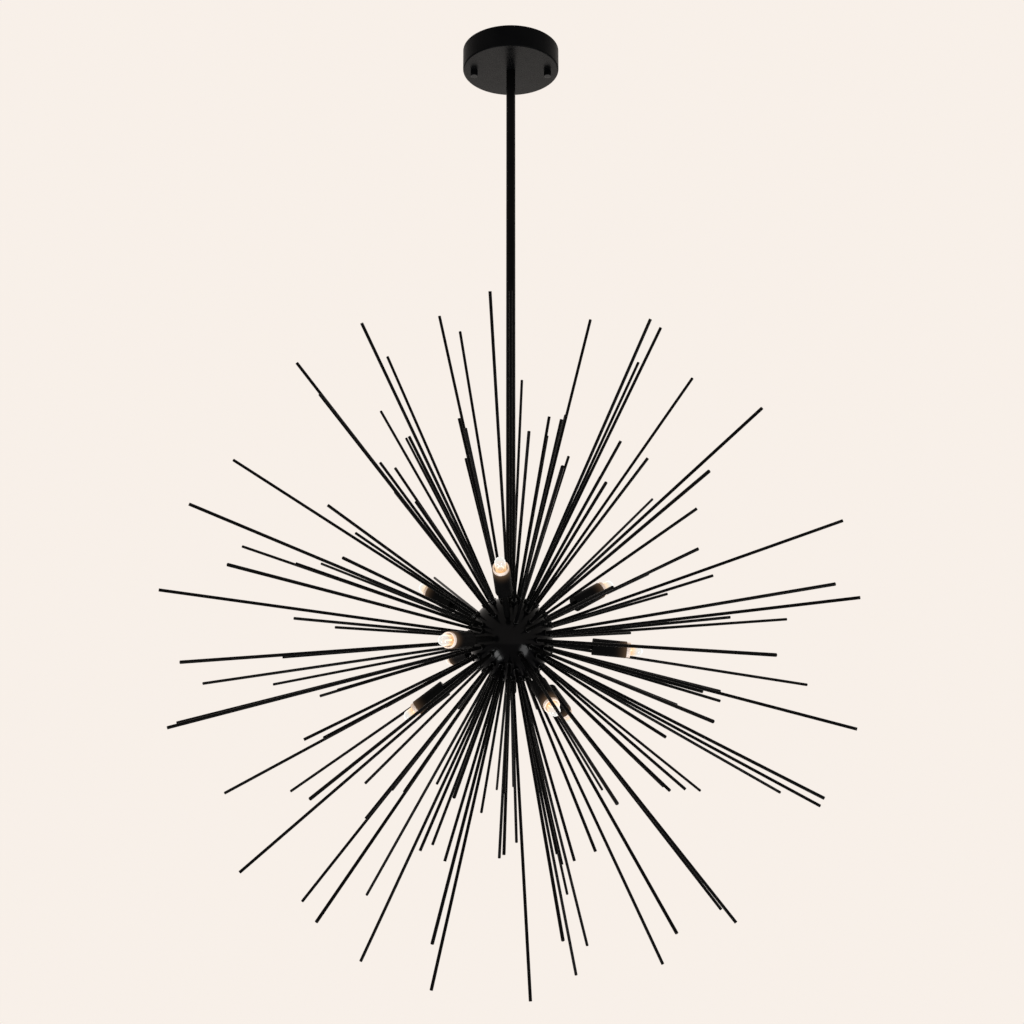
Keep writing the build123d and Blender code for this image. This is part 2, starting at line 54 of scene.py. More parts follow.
# ---- Photograph and camera ----------------------------------------------------------
IMAGE_PX = 1024
SENSOR_MM = 36.0
FOCAL_PX = 1300.0             # focal length in pixels of the photograph
HUB_PX = (510.7, 638.6)       # the ball's centre in the photograph
AXIS_PX = (512.0, 540.0)      # where the lens axis meets the photograph
LOOK_UP = radians(9.84)
HUB_DISTANCE = 1.702          # along the lens axis
NEAR_CLIP = 0.05
FAR_CLIP = 60.0

# ---- Room ---------------------------------------------------------------------------
CREAM = (0.939, 0.871, 0.812, 1.0)
SKY = (0.96, 0.98, 1.0, 1.0)
SKY_STRENGTH = 0.5
FLOOR_COLOUR = (0.82, 0.76, 0.71, 1.0)
FLOOR_ROUGHNESS = 0.9
FLOOR_SPECULAR = 0.1
FLOOR_GRAIN = 6.0             # noise scale
FLOOR_GRAIN_DEPTH = 0.002
FLOOR_BUMP = 0.1
FLOOR_Z = -3.4
FLOOR_HALF = 7.0
SOFTBOX_DISTANCE = 2.2
SOFTBOX_W = 32.0
SOFTBOXES = {                 # the way from the ball to each softbox, its width and its height
    "left_low_box": ((-0.55, -0.45, -0.71), 0.55, 1.0),
    "right_low_box": ((0.57, -0.61, -0.56), 0.85, 1.0),
}

# ---- Finishes that differ within a node ---------------------------------------------
UNDERSIDE_TILT = 0.9          # how squarely a face has to look down to be an underside, where the canopy and the cap nuts get a lit copy of their paint
COLLAR_REACH = 3.8            # millimetres from the ball out to just past a rod's collar

ball_low, ball_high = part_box("ball_upper_shell")
HUB = Vector((0.0, 0.0, ball_low.z))      # the ball's middle, where its two halves meet
COLLAR_TOP = (ball_high.x - ball_low.x) / 2 + COLLAR_REACH * MM


def reach_of(node):
    """How far a node reaches from the ball's middle."""
    return max((v.co - HUB).length for v in NODES[node].data.vertices)


# ---- Capsule lamp, millimetres; heights are from the foot of its glass --------------
SEAL_HALF_W = 6.5             # the pressed seal
SEAL_HALF_T = 2.2
SEAL_EDGE = 0.5
SEAL_TOP = 4.6
SEAL_WAIST = 0.28             # how much thinner the seal is between its two ribs
SEAL_RIB_X = 3.0
ROUND = 2.0                   # squareness of a circle or an ellipse; more is squarer
BULB_R = 6.75
BULB_ROUND_FROM = 10.4
DOME_STEPS = 9
NIB_R = 1.3                   # the sealed tip of the exhaust tube
NIB_H = 0.8
NIB_NECK = 1.5                # where the dome stops, in radii of the nib
GLASS_WALL = 1.1
CAVITY_FROM = 7.4
CAVITY_ROUND_RISE = 0.8       # how much higher the cavity turns round than the bulb
CAVITY_NECK = 0.5             # where the cavity's dome closes, in radii of the nib
CAVITY_DOME_STEPS = 8
GLASS_SIDES = 40
SEAL_RINGS = [                # height, half width, half thickness, squareness and waist
    (0.0, SEAL_HALF_W - SEAL_EDGE, SEAL_HALF_T - SEAL_EDGE, 5.0, SEAL_WAIST),
    (SEAL_EDGE, SEAL_HALF_W, SEAL_HALF_T, 5.0, SEAL_WAIST),
    (SEAL_TOP, SEAL_HALF_W, SEAL_HALF_T, 5.0, SEAL_WAIST),
    (5.7, 6.55, 2.7, 4.2, SEAL_WAIST * 0.7),
    (6.6, 6.6, 3.7, 3.4, SEAL_WAIST * 0.3),
    (7.6, 6.66, 4.9, 2.7, 0.0),
    (8.8, 6.72, 6.0, 2.2, 0.0),
]
CAVITY_RINGS = [              # the same at the foot of the cavity, which has no waist
    (CAVITY_FROM, 3.6, 1.6, 3.0),
    (CAVITY_FROM + 0.8, 4.8, 3.0, 2.6),
    (CAVITY_FROM + 2.0, 5.5, 4.6, 2.2),
]
NIB_RINGS = [(0.55, 1.0), (0.2, 0.8), (0.0, 0.35)]    # nib heights below its top, and radii
PIN_X = 4.5
PIN_LOOP_HALF = 0.8           # middle of the wire, either side of the pin's middle
PIN_WIRE_R = 0.4
LOOP_STEPS = 8                # in the half turn at a pin's tip
FOIL = (2.4, 0.12, 3.4)       # width, thickness and height
FOIL_FROM = 0.9
LEAD_R = 0.3
LEAD_WELD = 0.4               # how far a lead-in reaches down its foil
LEAD_STRAIGHT = 2.0           # above the cavity's foot
LEAD_BEND = (4.0, 0.97)       # height above the cavity's foot, and the share of PIN_X left
LEAD_UPRIGHT = 1.5            # below the coil's foot
LEAD_IN_COIL = 0.5
SUPPORT_R = 0.18
HOOK_TURN = 1.5 * pi
HOOK_STEPS = 6
WIRE_SIDES = 8
COIL_HALF = 3.7               # half the coil's arch across
COIL_RISE = 4.0               # and its height
COIL_R = 0.62
COIL_WIRE_R = 0.15
COIL_WIRE_SIDES = 5
COIL_PITCH = 0.62
COIL_STEPS = 10               # points in each turn
ARCH_STEPS = 40
GLARE_FADE = (17.0, 23.5)     # heights where the filament's glare starts and is full

# ---- Lamp light ---------------------------------------------------------------------
LAMP_W = 0.0015               # low enough that the pale sleeve beside the glass doesn't clip
LAMP_COLOUR = (1.0, 0.70, 0.40)
LAMP_LIGHT_R = 5.0
# Painted lamplight: the ends of the black cups and of the pale sleeves glow, standing in for the
# lamps' glare on them.
PAINTED_GLOW_CURVE = 3.0              # how steeply the painted lamplight on a cup or a sleeve grows towards its end
CUP_PAINTED_GLOW = (0.020, 0.09, (1.0, 0.60, 0.34, 1.0))      # painted lamplight at the cups' ends: metres deep, strength, colour
SLEEVE_PAINTED_GLOW = (0.017, 0.35, (1.0, 0.58, 0.24, 1.0))

# ---- What all finishes of a kind share: noise scales, levels, depths in metres ------
NOISE_LEVELS = (0.3, 0.7)     # what a noise mostly stays between
PAINT_TONES = 35.0
PAINT_CLOUDS = 120.0
PAINT_DUST = 2600.0
DUST_LEVELS = (0.66, 0.74)    # noise where a speck of dust starts and is full
DUST_ROUGHNESS = 0.18
PAINT_IOR = 1.5
PEEL_BUMP = 0.5               # strength of the bump on paint and mouldings
METAL_TONES = 60.0
METAL_STRETCH = (1.0, 1.0, 12.0)
METAL_GRAIN_DEPTH = 0.00005
METAL_BUMP = 0.4
MOULD_TONES = 90.0
MOULD_CLOUDS = 200.0
MOULD_SPECULAR = 0.45
GLASS_IOR = 1.46
GLASS_CLOUDS = 700.0
GLASS_ROUGH = (0.02, 0.06)
GLASS_TINTS = ((0.90, 0.66, 0.36), (0.28, 0.26, 0.23))      # at the foot, and beside the coil
GLARE_COLOURS = ((1.0, 0.60, 0.24), (0.91, 0.93, 0.93))
GLARE_STRENGTHS = (0.15, 0.44)
WIRE_HEAT = 900.0
WIRE_ROUGHNESS = 0.5
WIRE_COLOUR = (0.25, 0.24, 0.23, 1.0)
HEAT_COLOURS = ((1.0, 0.84, 0.60), (1.0, 0.92, 0.76))       # where it is cooler and hotter
HEAT_STRENGTHS = (2.0, 3.0)


# ---- Node helpers -------------------------------------------------------------------
class Shader:
    """The node tree of a material or the world, with short calls for what is used most."""

    # The Mix node's colour sockets go by number, because others have the same names.
    MIX_FIRST, MIX_SECOND, MIX_RESULT = 6, 7, 2

    def __init__(self, holder, output="ShaderNodeOutputMaterial"):
        holder.use_nodes = True
        self.holder = holder
        self.tree = holder.node_tree
        self.tree.nodes.clear()
        self.out = self.add(output)
        self.coords = self.add("ShaderNodeTexCoord")

    def add(self, kind, **inputs):
        node = self.tree.nodes.new(kind)
        for name, value in inputs.items():
            node.inputs[name.replace("_", " ")].default_value = value
        return node

    def link(self, source, target):
        self.tree.links.new(source, target)

    def principled(self, **inputs):
        shader = self.add("ShaderNodeBsdfPrincipled", **inputs)
        self.link(shader.outputs["BSDF"], self.out.inputs["Surface"])
        return shader

    def noise(self, scale, detail=3.0):
        node = self.add("ShaderNodeTexNoise", Scale=scale, Detail=detail)
        self.link(self.coords.outputs["Object"], node.inputs["Vector"])
        return node.outputs["Fac"]

    def attribute(self, name):
        node = self.add("ShaderNodeAttribute")
        node.attribute_name = name
        return node.outputs["Fac"]

    def spread(self, value, low, high, levels=NOISE_LEVELS):
        """Map what lies between two levels onto low..high."""
        start, end = levels
        node = self.add("ShaderNodeMapRange", From_Min=start, From_Max=end,
                        To_Min=low, To_Max=high)
        self.link(value, node.inputs["Value"])
        return node.outputs["Result"]

    def mottle(self, scale, low=0.0, high=1.0):
        """Noise that mostly fills low..high."""
        return self.spread(self.noise(scale), low, high)

    def colours(self, value, first, second):
        node = self.add("ShaderNodeMix")
        node.data_type = "RGBA"
        node.inputs[self.MIX_FIRST].default_value = (*first, 1.0)
        node.inputs[self.MIX_SECOND].default_value = (*second, 1.0)
        self.link(value, node.inputs["Factor"])
        return node.outputs[self.MIX_RESULT]

    def math(self, operation, first, second):
        node = self.add("ShaderNodeMath")
        node.operation = operation
        self.link(first, node.inputs[0])
        if isinstance(second, float):
            node.inputs[1].default_value = second
        else:
            self.link(second, node.inputs[1])
        return node.outputs[0]

    def bump(self, shader, height, distance, strength):
        node = self.add("ShaderNodeBump", Strength=strength, Distance=distance)
        self.link(height, node.inputs["Height"])
        self.link(node.outputs["Normal"], shader.inputs["Normal"])

    def emit(self, shader, strength):
        """Make it glow, without Cycles aiming light rays at the glow."""
        self.link(strength, shader.inputs["Emission Strength"])
        self.holder.cycles.emission_sampling = "NONE"

    def glow(self, shader, end, depth, strength, colour):
        """Painted lamplight: an emission that grows over the last stretch of a piece, out to its
        end.
        """
        reach = self.add("ShaderNodeVectorMath")
        reach.operation = "DISTANCE"
        self.link(self.coords.outputs["Object"], reach.inputs[0])
        reach.inputs[1].default_value = HUB
        near = self.spread(reach.outputs["Value"], 0.0, 1.0, levels=(end - depth, end))
        grown = self.math("POWER", near, PAINTED_GLOW_CURVE)
        shader.inputs["Emission Color"].default_value = colour
        self.emit(shader, self.math("MULTIPLY", grown, strength))


# ---- Materials ----------------------------------------------------------------------
def paint(name, dark, light, rough, specular, grain, depth, glow=None):
    """Sprayed paint: two close tones, uneven gloss, dust specks and a fine orange peel, and
    painted lamplight at its end where glow is given.
    """
    s = Shader(bpy.data.materials.new(name))
    shader = s.principled(Specular_IOR_Level=specular, IOR=PAINT_IOR)
    s.link(s.colours(s.mottle(PAINT_TONES), dark, light), shader.inputs["Base Color"])
    clouds = s.mottle(PAINT_CLOUDS, *rough)
    dust = s.spread(s.noise(PAINT_DUST, detail=1.0), 0.0, DUST_ROUGHNESS, levels=DUST_LEVELS)
    s.link(s.math("ADD", clouds, dust), shader.inputs["Roughness"])
    s.bump(shader, s.noise(grain, detail=2.0), depth, PEEL_BUMP)
    if glow:
        s.glow(shader, *glow)
    return s.holder


def metal(name, colour, worn, rough, brush):
    """Plated metal with a rolled or turned grain."""
    s = Shader(bpy.data.materials.new(name))
    shader = s.principled(Metallic=1.0)
    stretch = s.add("ShaderNodeMapping", Scale=METAL_STRETCH)
    s.link(s.coords.outputs["Object"], stretch.inputs["Vector"])
    grain = s.add("ShaderNodeTexNoise", Scale=brush, Detail=4.0)
    s.link(stretch.outputs["Vector"], grain.inputs["Vector"])
    s.link(s.colours(s.mottle(METAL_TONES), colour, worn), shader.inputs["Base Color"])
    s.link(s.spread(grain.outputs["Fac"], *rough), shader.inputs["Roughness"])
    s.bump(shader, grain.outputs["Fac"], METAL_GRAIN_DEPTH, METAL_BUMP)
    return s.holder


def moulded(name, colour, shade, rough, grain, depth, glow=None):
    """Moulded plastic or fired ceramic with a slight mottle, and painted lamplight at its end
    where glow is given.
    """
    s = Shader(bpy.data.materials.new(name))
    shader = s.principled(Specular_IOR_Level=MOULD_SPECULAR)
    s.link(s.colours(s.mottle(MOULD_TONES), colour, shade), shader.inputs["Base Color"])
    s.link(s.mottle(MOULD_CLOUDS, *rough), shader.inputs["Roughness"])
    s.bump(shader, s.noise(grain), depth, PEEL_BUMP)
    if glow:
        s.glow(shader, *glow)
    return s.holder


def lit_glass(name):
    """Clear glass full of the filament's glare: white beside the coil, golden at the foot."""
    s = Shader(bpy.data.materials.new(name))
    shader = s.principled(IOR=GLASS_IOR, Transmission_Weight=1.0)
    glow = s.attribute("glow")
    s.link(s.mottle(GLASS_CLOUDS, *GLASS_ROUGH), shader.inputs["Roughness"])
    s.link(s.colours(glow, *GLASS_TINTS), shader.inputs["Base Color"])
    s.link(s.colours(glow, *GLARE_COLOURS), shader.inputs["Emission Color"])
    s.emit(shader, s.spread(glow, *GLARE_STRENGTHS, levels=(0.0, 1.0)))
    return s.holder


def hot_wire(name):
    """Tungsten at working heat, a little cooler in places."""
    s = Shader(bpy.data.materials.new(name))
    shader = s.principled(Roughness=WIRE_ROUGHNESS, Base_Color=WIRE_COLOUR)
    heat = s.mottle(WIRE_HEAT)
    s.link(s.colours(heat, *HEAT_COLOURS), shader.inputs["Emission Color"])
    s.emit(shader, s.spread(heat, *HEAT_STRENGTHS, levels=(0.0, 1.0)))
    return s.holder


FINISHES = {                  # what makes each finish, and how; grain and brush are noise scales
    "rod_paint": (paint, dict(
        dark=(0.0012, 0.0012, 0.0014), light=(0.0024, 0.0023, 0.0022),
        rough=(0.20, 0.30), specular=0.03, grain=900.0, depth=0.00006)),
    "collar_gloss": (paint, dict(
        dark=(0.0010, 0.0010, 0.0012), light=(0.0020, 0.0020, 0.0020),
        rough=(0.12, 0.20), specular=0.16, grain=900.0, depth=0.00003)),
    "canopy_paint": (paint, dict(
        dark=(0.0012, 0.0013, 0.0016), light=(0.0024, 0.0025, 0.0028),
        rough=(0.34, 0.42), specular=0.02, grain=1100.0, depth=0.00006)),
    # A lit copy of the canopy paint for its underside: a shade lighter and glossier, standing in
    # for the light from below that it reflects.
    "canopy_lit_underside": (paint, dict(
        dark=(0.0014, 0.0015, 0.0018), light=(0.0026, 0.0027, 0.0030),
        rough=(0.22, 0.30), specular=0.26, grain=1100.0, depth=0.00004)),
    # A lit copy of the same paint for the cap nuts' ends: a shade lighter and much glossier, for
    # a painted glint.
    "nut_end_glint": (paint, dict(
        dark=(0.0014, 0.0015, 0.0018), light=(0.0026, 0.0027, 0.0030),
        rough=(0.10, 0.16), specular=0.80, grain=1100.0, depth=0.00003)),
    "ball_paint": (paint, dict(
        dark=(0.0008, 0.0008, 0.0010), light=(0.0014, 0.0014, 0.0016),
        rough=(0.12, 0.18), specular=0.07, grain=500.0, depth=0.00004)),
    # The cups' paint glows towards their mouths: painted lamplight.
    "cup_paint": (paint, dict(
        dark=(0.0018, 0.0018, 0.0020), light=(0.0034, 0.0033, 0.0032),
        rough=(0.30, 0.40), specular=0.025, grain=900.0, depth=0.00006,
        glow=(reach_of("lamp_cups"), *CUP_PAINTED_GLOW))),
    "zinc": (metal, dict(
        colour=(0.60, 0.61, 0.62), worn=(0.48, 0.49, 0.50), rough=(0.28, 0.42), brush=220.0)),
    "earth_screw": (metal, dict(
        colour=(0.05, 0.32, 0.11), worn=(0.04, 0.24, 0.08), rough=(0.3, 0.42), brush=200.0)),
    "brass": (metal, dict(
        colour=(0.78, 0.60, 0.30), worn=(0.66, 0.48, 0.22), rough=(0.25, 0.4), brush=260.0)),
    "nickel": (metal, dict(
        colour=(0.62, 0.60, 0.57), worn=(0.52, 0.50, 0.47), rough=(0.2, 0.32), brush=300.0)),
    "foil": (metal, dict(
        colour=(0.42, 0.41, 0.40), worn=(0.32, 0.31, 0.30), rough=(0.3, 0.4), brush=500.0)),
    "nylon": (moulded, dict(
        colour=(0.80, 0.79, 0.74), shade=(0.74, 0.73, 0.68),
        rough=(0.45, 0.55), grain=700.0, depth=0.00005)),
    "sheath": (moulded, dict(
        colour=(0.76, 0.74, 0.70), shade=(0.70, 0.68, 0.64),
        rough=(0.4, 0.5), grain=800.0, depth=0.00004)),
    "ceramic": (moulded, dict(
        colour=(0.84, 0.82, 0.77), shade=(0.78, 0.76, 0.70),
        rough=(0.3, 0.42), grain=600.0, depth=0.00006)),
    # The sleeves glow towards their ends: painted lamplight.
    "sleeve": (moulded, dict(
        colour=(0.72, 0.69, 0.69), shade=(0.62, 0.59, 0.59),
        rough=(0.32, 0.42), grain=900.0, depth=0.00005,
        glow=(reach_of("holder_sleeves"), *SLEEVE_PAINTED_GLOW))),
    "lit_glass": (lit_glass, {}),
    "hot_wire": (hot_wire, {}),
}
MATERIALS = {name: make(name, **settings) for name, (make, settings) in FINISHES.items()}

# The canopy, its cap nuts and the rods have two finishes each, and are dressed at the end. On
# the canopy and the cap nuts the second is a lit copy of the paint, a shade lighter and glossier
# on the faces that look down, for a painted sheen and glint.
NODE_FINISH = {
    "mounting_bracket": "zinc",
    "bracket_studs": "zinc",
    "stud_lock_nuts": "zinc",
    "ground_screw": "earth_screw",
    "canopy_washer": "zinc",
    "canopy_nut": "zinc",
    "downrod_top": "rod_paint",
    "downrod_middle": "rod_paint",
    "downrod_bottom": "rod_paint",
    "downrod_nipples": "zinc",
    "ball_top_collar": "cup_paint",
    "ball_upper_shell": "ball_paint",
    "ball_lower_shell": "ball_paint",
    "hub_nipple": "zinc",
    "hub_nuts": "zinc",
    "bottom_finial": "ball_paint",
    "junction_block": "nylon",
    "main_leads": "sheath",
    "lamp_leads": "sheath",
    "lamp_arms": "cup_paint",
    "arm_lock_nuts": "zinc",
    "lamp_cups": "cup_paint",
    "lamp_holders": "ceramic",
    "holder_contacts": "brass",
    "holder_sleeves": "sleeve",
}


def dress(node, finish, other=None, where=None):
    """Give a node's faces one finish, and another to those that where picks out."""
    mesh = NODES[node].data
    mesh.materials.clear()
    mesh.materials.append(MATERIALS[finish])
    if other:
        mesh.materials.append(MATERIALS[other])
    for face in mesh.polygons:
        face.material_index = int(bool(other) and where(mesh, face))


def faces_down(mesh, face):
    return face.normal.z < -UNDERSIDE_TILT


def on_collar(mesh, face):
    """Whether a rod's face belongs to the turned collar at its root."""
    return all((mesh.vertices[v].co - HUB).length < COLLAR_TOP for v in face.vertices)


# ---- Placing ------------------------------------------------------------------------
def lamp_axis(body):
    """The way a lamp points, from its slide."""
    joint = next(j for j in frame["joints"] if j["child"] == body)
    return Vector(joint["axis"]).normalized()


def lamp_place(body):
    """From millimetres above a lamp's foot, x along its two pins, to the model's frame."""
    axis = lamp_axis(body)
    level = Vector((-axis.y, axis.x, 0.0)).normalized()
    across = axis.cross(level)
    foot = min((v.co - HUB).dot(axis) for v in NODES[f"{body}_glass"].data.vertices)
    turn = Matrix((level, across, axis)).transposed().to_4x4()
    return Matrix.Translation(HUB + axis * foot) @ turn @ Matrix.Scale(MM, 4)


def span(node, axis):
    """Where a node starts and ends along an axis."""
    reach = [v.co.dot(axis) for v in NODES[node].data.vertices]
    return min(reach), max(reach)


def lamp_height(body):
    """Length of a lamp's glass in millimetres."""
    foot, top = span(f"{body}_glass", lamp_axis(body))
    return (top - foot) / MM


def wire_span(body):
    """Heights of the pins' ends and of the filament's top, from the foot of the glass."""
    axis = lamp_axis(body)
    low, high = span(f"{body}_filament", axis)
    foot, _ = span(f"{body}_glass", axis)
    return (low - foot) / MM, (high - foot) / MM


# ---- Meshes -------------------------------------------------------------------------
class Mesh:
    """Points and faces that grow piece by piece, in millimetres."""

    def __init__(self):
        self.points = []
        self.faces = []

    def loft(self, rings, inward=False):
        """Join rings of as many points each, and close both ends."""
        first = len(self.points)
        sides = len(rings[0])
        faces = []
        for ring in rings:
            self.points += ring
        for level in range(len(rings) - 1):
            for side in range(sides):
                after = (side + 1) % sides
                low = first + level * sides
                high = low + sides
                faces.append((low + side, low + after, high + after, high + side))
        last = first + (len(rings) - 1) * sides
        faces.append(tuple(range(first + sides - 1, first - 1, -1)))
        faces.append(tuple(range(last, last + sides)))
        self.faces += [face[::-1] for face in faces] if inward else faces

    def wire(self, path, radius, sides=WIRE_SIDES):
        """A round wire along a list of points, with its rings turned as little as can be."""
        rings = []
        side = None
        for index, point in enumerate(path):
            before = path[max(index - 1, 0)]
            after = path[min(index + 1, len(path) - 1)]
            way = (after - before).normalized()
            if side is None:
                side = way.orthogonal().normalized()
            side = (side - way * side.dot(way)).normalized()
            other = way.cross(side)
            rings.append([point + side * radius * cos(2 * pi * n / sides)
                          + other * radius * sin(2 * pi * n / sides) for n in range(sides)])
        self.loft(rings)

    def bar(self, low, high):
        """A box between two corners."""
        rings = [[Vector((low[0], low[1], z)), Vector((high[0], low[1], z)),
                  Vector((high[0], high[1], z)), Vector((low[0], high[1], z))]
                 for z in (low[2], high[2])]
        self.loft(rings)

    def piece(self, name, place, material, values=None):
        """The object, with a number at each point where values gives one."""
        mesh = bpy.data.meshes.new(name)
        mesh.from_pydata([place @ point for point in self.points], [], self.faces)
        if values:
            layer = mesh.attributes.new("glow", "FLOAT", "POINT")
            layer.data.foreach_set("value", [values(point) for point in self.points])
        mesh.materials.append(material)
        for face in mesh.polygons:
            face.use_smooth = len(face.vertices) == 4
        thing = bpy.data.objects.new(name, mesh)
        bpy.context.scene.collection.objects.link(thing)
        return thing


# ---- Capsule lamps ------------------------------------------------------------------
def glass_ring(height, half_width, half_depth, squareness, waist=0.0):
    """A ring of the lamp's glass: a rounded oblong that can be thinner in its middle."""
    ring = []
    for n in range(GLASS_SIDES):
        t = 2 * pi * (n + 0.5) / GLASS_SIDES
        c, s = cos(t), sin(t)
        x = half_width * abs(c) ** (2 / squareness) * (1 if c > 0 else -1)
        y = half_depth * abs(s) ** (2 / squareness) * (1 if s > 0 else -1)
        thinner = 1 - waist * max(0.0, 1 - (x / SEAL_RIB_X) ** 2)
        ring.append(Vector((x, y * thinner, height)))
    return ring


def round_ring(height, radius):
    return glass_ring(height, radius, radius, ROUND)


def dome(centre, radius, until, steps):
    """Rings of a dome from its widest level up to a ring of the radius until."""
    top = acos(until / radius)
    turns = [top * (n + 1) / steps for n in range(steps)]
    return [round_ring(centre + radius * sin(t), radius * cos(t)) for t in turns]


def bulb_mesh(length):
    """Outer skin with its pressed seal and sealed tip, and the inner skin of the cavity."""
    shoulder = length - NIB_H - BULB_R
    outer = [glass_ring(*ring) for ring in SEAL_RINGS]
    for height in (BULB_ROUND_FROM, (BULB_ROUND_FROM + shoulder) / 2, shoulder):
        outer.append(round_ring(height, BULB_R))
    outer += dome(shoulder, BULB_R, NIB_R * NIB_NECK, DOME_STEPS)
    outer += [round_ring(length - down * NIB_H, NIB_R * wide) for down, wide in NIB_RINGS]
    inside_r = BULB_R - GLASS_WALL
    inner = [glass_ring(*ring) for ring in CAVITY_RINGS]
    for height in (BULB_ROUND_FROM + CAVITY_ROUND_RISE, shoulder):
        inner.append(round_ring(height, inside_r))
    inner += dome(shoulder, inside_r, NIB_R * CAVITY_NECK, CAVITY_DOME_STEPS)
    mesh = Mesh()
    mesh.loft(outer)
    mesh.loft(inner, inward=True)
    return mesh


def glare(point):
    """How strongly the glass glares at a point: 1 from the coil up, 0 towards the foot."""
    start, full = GLARE_FADE
    return min(1.0, max(0.0, (point.z - start) / (full - start))) ** 2


def pin_path(x, tip):
    """A pin's wire: down one side, round the loop at its tip and up the other side."""
    turn = tip + PIN_WIRE_R + PIN_LOOP_HALF
    path = [Vector((x, -PIN_LOOP_HALF, FOIL_FROM)), Vector((x, -PIN_LOOP_HALF, turn))]
    for n in range(1, LOOP_STEPS):
        t = pi * n / LOOP_STEPS
        path.append(Vector((x, -PIN_LOOP_HALF * cos(t), turn - PIN_LOOP_HALF * sin(t))))
    return path + [Vector((x, PIN_LOOP_HALF, turn)), Vector((x, PIN_LOOP_HALF, FOIL_FROM))]


def lead_path(side, coil_top):
    """A lead-in, from its foil up into its end of the coil."""
    x = side * PIN_X
    bend_height, bend_share = LEAD_BEND
    foil_top = FOIL_FROM + FOIL[2]
    coil_foot = coil_top - COIL_RISE
    return [Vector((x, 0.0, foil_top - LEAD_WELD)),
            Vector((x, 0.0, CAVITY_FROM + LEAD_STRAIGHT)),
            Vector((x * bend_share, 0.0, CAVITY_FROM + bend_height)),
            Vector((side * COIL_HALF, 0.0, coil_foot - LEAD_UPRIGHT)),
            Vector((side * COIL_HALF, 0.0, coil_foot + LEAD_IN_COIL))]


def hook_path(coil_top):
    """The coil's support: up from the seal, and most of the way round the coil."""
    ring = COIL_R + SUPPORT_R
    path = [Vector((0.0, 0.0, SEAL_TOP)), Vector((0.0, 0.0, coil_top - 2 * ring))]
    for n in range(HOOK_STEPS + 1):
        t = -pi / 2 + HOOK_TURN * n / HOOK_STEPS
        path.append(Vector((0.0, ring * cos(t), coil_top + ring * sin(t))))
    return path


def pins_mesh(tip, coil_top):
    """Two looped pins, the lead-ins and the coil's support."""
    mesh = Mesh()
    for side in (-1, 1):
        mesh.wire(pin_path(side * PIN_X, tip), PIN_WIRE_R)
        mesh.wire(lead_path(side, coil_top), LEAD_R)
    mesh.wire(hook_path(coil_top), SUPPORT_R)
    return mesh


def foils_mesh():
    mesh = Mesh()
    wide, thick, tall = FOIL
    for side in (-1, 1):
        x = side * PIN_X
        mesh.bar((x - wide / 2, -thick / 2, FOIL_FROM),
                 (x + wide / 2, thick / 2, FOIL_FROM + tall))
    return mesh


def coil_route(coil_top):
    """Middle of the coil: an arch from one lead-in over to the other."""
    turns = [pi * (1 - n / ARCH_STEPS) for n in range(ARCH_STEPS + 1)]
    return [Vector((COIL_HALF * cos(t), 0.0, coil_top - COIL_RISE * (1 - sin(t))))
            for t in turns]


def point_along(route, distance):
    """Point and direction at a distance along a route."""
    for start, end in zip(route, route[1:]):
        length = (end - start).length
        if distance <= length:
            break
        distance -= length
    way = (end - start).normalized()
    return start + way * min(distance, length), way


def coil_mesh(coil_top):
    """The glowing coil: one wire wound round its route."""
    route = coil_route(coil_top)
    length = sum((b - a).length for a, b in zip(route, route[1:]))
    steps = int(length / COIL_PITCH * COIL_STEPS)
    side = Vector((0.0, 1.0, 0.0))
    path = []
    for n in range(steps + 1):
        point, way = point_along(route, length * n / steps)
        t = 2 * pi * n / COIL_STEPS
        path.append(point + side * COIL_R * cos(t) + way.cross(side) * COIL_R * sin(t))
    mesh = Mesh()
    mesh.wire(path, COIL_WIRE_R, sides=COIL_WIRE_SIDES)
    return mesh


def lamp_light(name, glass, location):
    """A small warm light inside a lamp, which moves with its glass."""
    data = bpy.data.lights.new(name, "POINT")
    data.energy = LAMP_W
    data.color = LAMP_COLOUR
    data.shadow_soft_size = LAMP_LIGHT_R * MM
    lamp = bpy.data.objects.new(name, data)
    lamp.location = location
    lamp.visible_camera = False
    lamp.visible_glossy = False
    lamp.visible_transmission = False
    bpy.context.scene.collection.objects.link(lamp)
    lamp.parent = glass


def make_lamp(body):
    """A lamp's glass, pins, foils and coil, and the light that it gives."""
    place = lamp_place(body)
    bulb = bulb_mesh(lamp_height(body))
    glass = bulb.piece(f"{body}_bulb", place, MATERIALS["lit_glass"], glare)
    tip, top = wire_span(body)
    coil_top = top - COIL_R - COIL_WIRE_R
    pins = pins_mesh(tip, coil_top).piece(f"{body}_pins", place, MATERIALS["nickel"])
    foils = foils_mesh().piece(f"{body}_foils", place, MATERIALS["foil"])
    coil = coil_mesh(coil_top).piece(f"{body}_coil", place, MATERIALS["hot_wire"])
    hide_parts(f"{body}_glass")
    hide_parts(f"{body}_filament")
    for piece in (glass, pins, foils, coil):
        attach(piece, body)
        piece.visible_shadow = False
        piece.visible_diffuse = False
    lamp_light(f"{body}_light", glass, place @ Vector((0.0, 0.0, coil_top)))


# ---- Room ---------------------------------------------------------------------------
def make_world():
    """Cream to the camera, in gloss and through glass, and a soft sky to matt surfaces."""
    world = bpy.data.worlds.new("studio")
    bpy.context.scene.world = world
    s = Shader(world, "ShaderNodeOutputWorld")
    path = s.add("ShaderNodeLightPath").outputs
    seen = s.add("ShaderNodeBackground", Color=CREAM, Strength=1.0)
    light = s.add("ShaderNodeBackground", Color=SKY, Strength=SKY_STRENGTH)
    straight = s.math("MAXIMUM", path["Is Camera Ray"], path["Is Transmission Ray"])
    shown = s.math("MAXIMUM", straight, path["Is Glossy Ray"])
    mix = s.add("ShaderNodeMixShader")
    for source, target in zip((shown, light.outputs[0], seen.outputs[0]), mix.inputs):
        s.link(source, target)
    s.link(mix.outputs[0], s.out.inputs["Surface"])


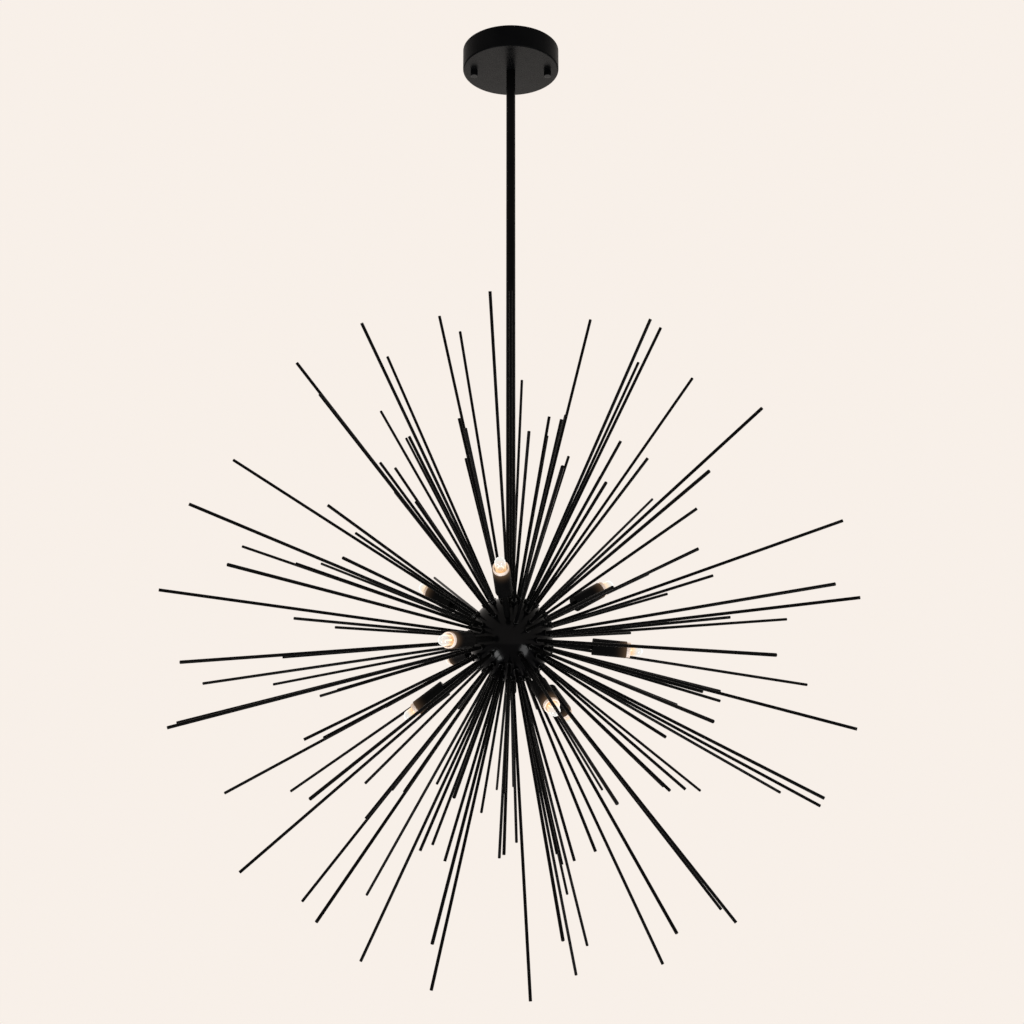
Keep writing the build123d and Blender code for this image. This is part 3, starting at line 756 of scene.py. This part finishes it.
def make_floor():
    s = Shader(bpy.data.materials.new("floor"))
    shader = s.principled(Base_Color=FLOOR_COLOUR, Roughness=FLOOR_ROUGHNESS,
                          Specular_IOR_Level=FLOOR_SPECULAR)
    s.bump(shader, s.noise(FLOOR_GRAIN), FLOOR_GRAIN_DEPTH, FLOOR_BUMP)
    mesh = bpy.data.meshes.new("floor")
    corners = [(x * FLOOR_HALF, y * FLOOR_HALF, FLOOR_Z)
               for x, y in ((-1, -1), (1, -1), (1, 1), (-1, 1))]
    mesh.from_pydata(corners, [], [(0, 1, 2, 3)])
    mesh.materials.append(s.holder)
    floor = bpy.data.objects.new("floor", mesh)
    bpy.context.scene.collection.objects.link(floor)


def softbox(name, direction, width, height):
    """An oblong lamp that looks at the ball."""
    way = Vector(direction).normalized()
    data = bpy.data.lights.new(name, "AREA")
    data.shape = "RECTANGLE"
    data.size = width
    data.size_y = height
    data.energy = SOFTBOX_W
    lamp = bpy.data.objects.new(name, data)
    lamp.location = HUB + way * SOFTBOX_DISTANCE
    lamp.rotation_mode = "QUATERNION"
    lamp.rotation_quaternion = way.to_track_quat("Z", "Y")
    lamp.visible_camera = False
    bpy.context.scene.collection.objects.link(lamp)


def make_camera():
    """The photograph's camera, placed from where the ball's centre lies in it."""
    forward = Vector((0.0, cos(LOOK_UP), sin(LOOK_UP)))
    up = Vector((0.0, -sin(LOOK_UP), cos(LOOK_UP)))
    right = Vector((1.0, 0.0, 0.0))
    across = (HUB_PX[0] - AXIS_PX[0]) / FOCAL_PX
    above = (AXIS_PX[1] - HUB_PX[1]) / FOCAL_PX
    data = bpy.data.cameras.new("camera")
    data.sensor_width = SENSOR_MM
    data.lens = FOCAL_PX * SENSOR_MM / IMAGE_PX
    data.shift_y = (AXIS_PX[1] - IMAGE_PX / 2) / IMAGE_PX
    data.clip_start = NEAR_CLIP
    data.clip_end = FAR_CLIP
    camera = bpy.data.objects.new("camera", data)
    camera.location = HUB - HUB_DISTANCE * (forward + across * right + above * up)
    camera.rotation_euler = (pi / 2 + LOOK_UP, 0.0, 0.0)
    bpy.context.scene.collection.objects.link(camera)
    bpy.context.scene.camera = camera


# ---- Making -------------------------------------------------------------------------
make_camera()
make_world()
make_floor()
for name, (direction, width, height) in SOFTBOXES.items():
    softbox(name, direction, width, height)
for node, finish in NODE_FINISH.items():
    dress(node, finish)
# The canopy's underside gets the lit copy of its paint: painted sheen from below.
dress("canopy", "canopy_paint", "canopy_lit_underside", faces_down)
# The cap nuts' ends get the lit copy of the paint: a painted glint.
dress("cap_nuts", "canopy_paint", "nut_end_glint", faces_down)
for node in NODES:
    if node.startswith("rods_row_"):
        dress(node, "rod_paint", "collar_gloss", on_collar)
for joint in frame["joints"]:
    make_lamp(joint["child"])

bpy.context.scene.view_settings.view_transform = "Standard"
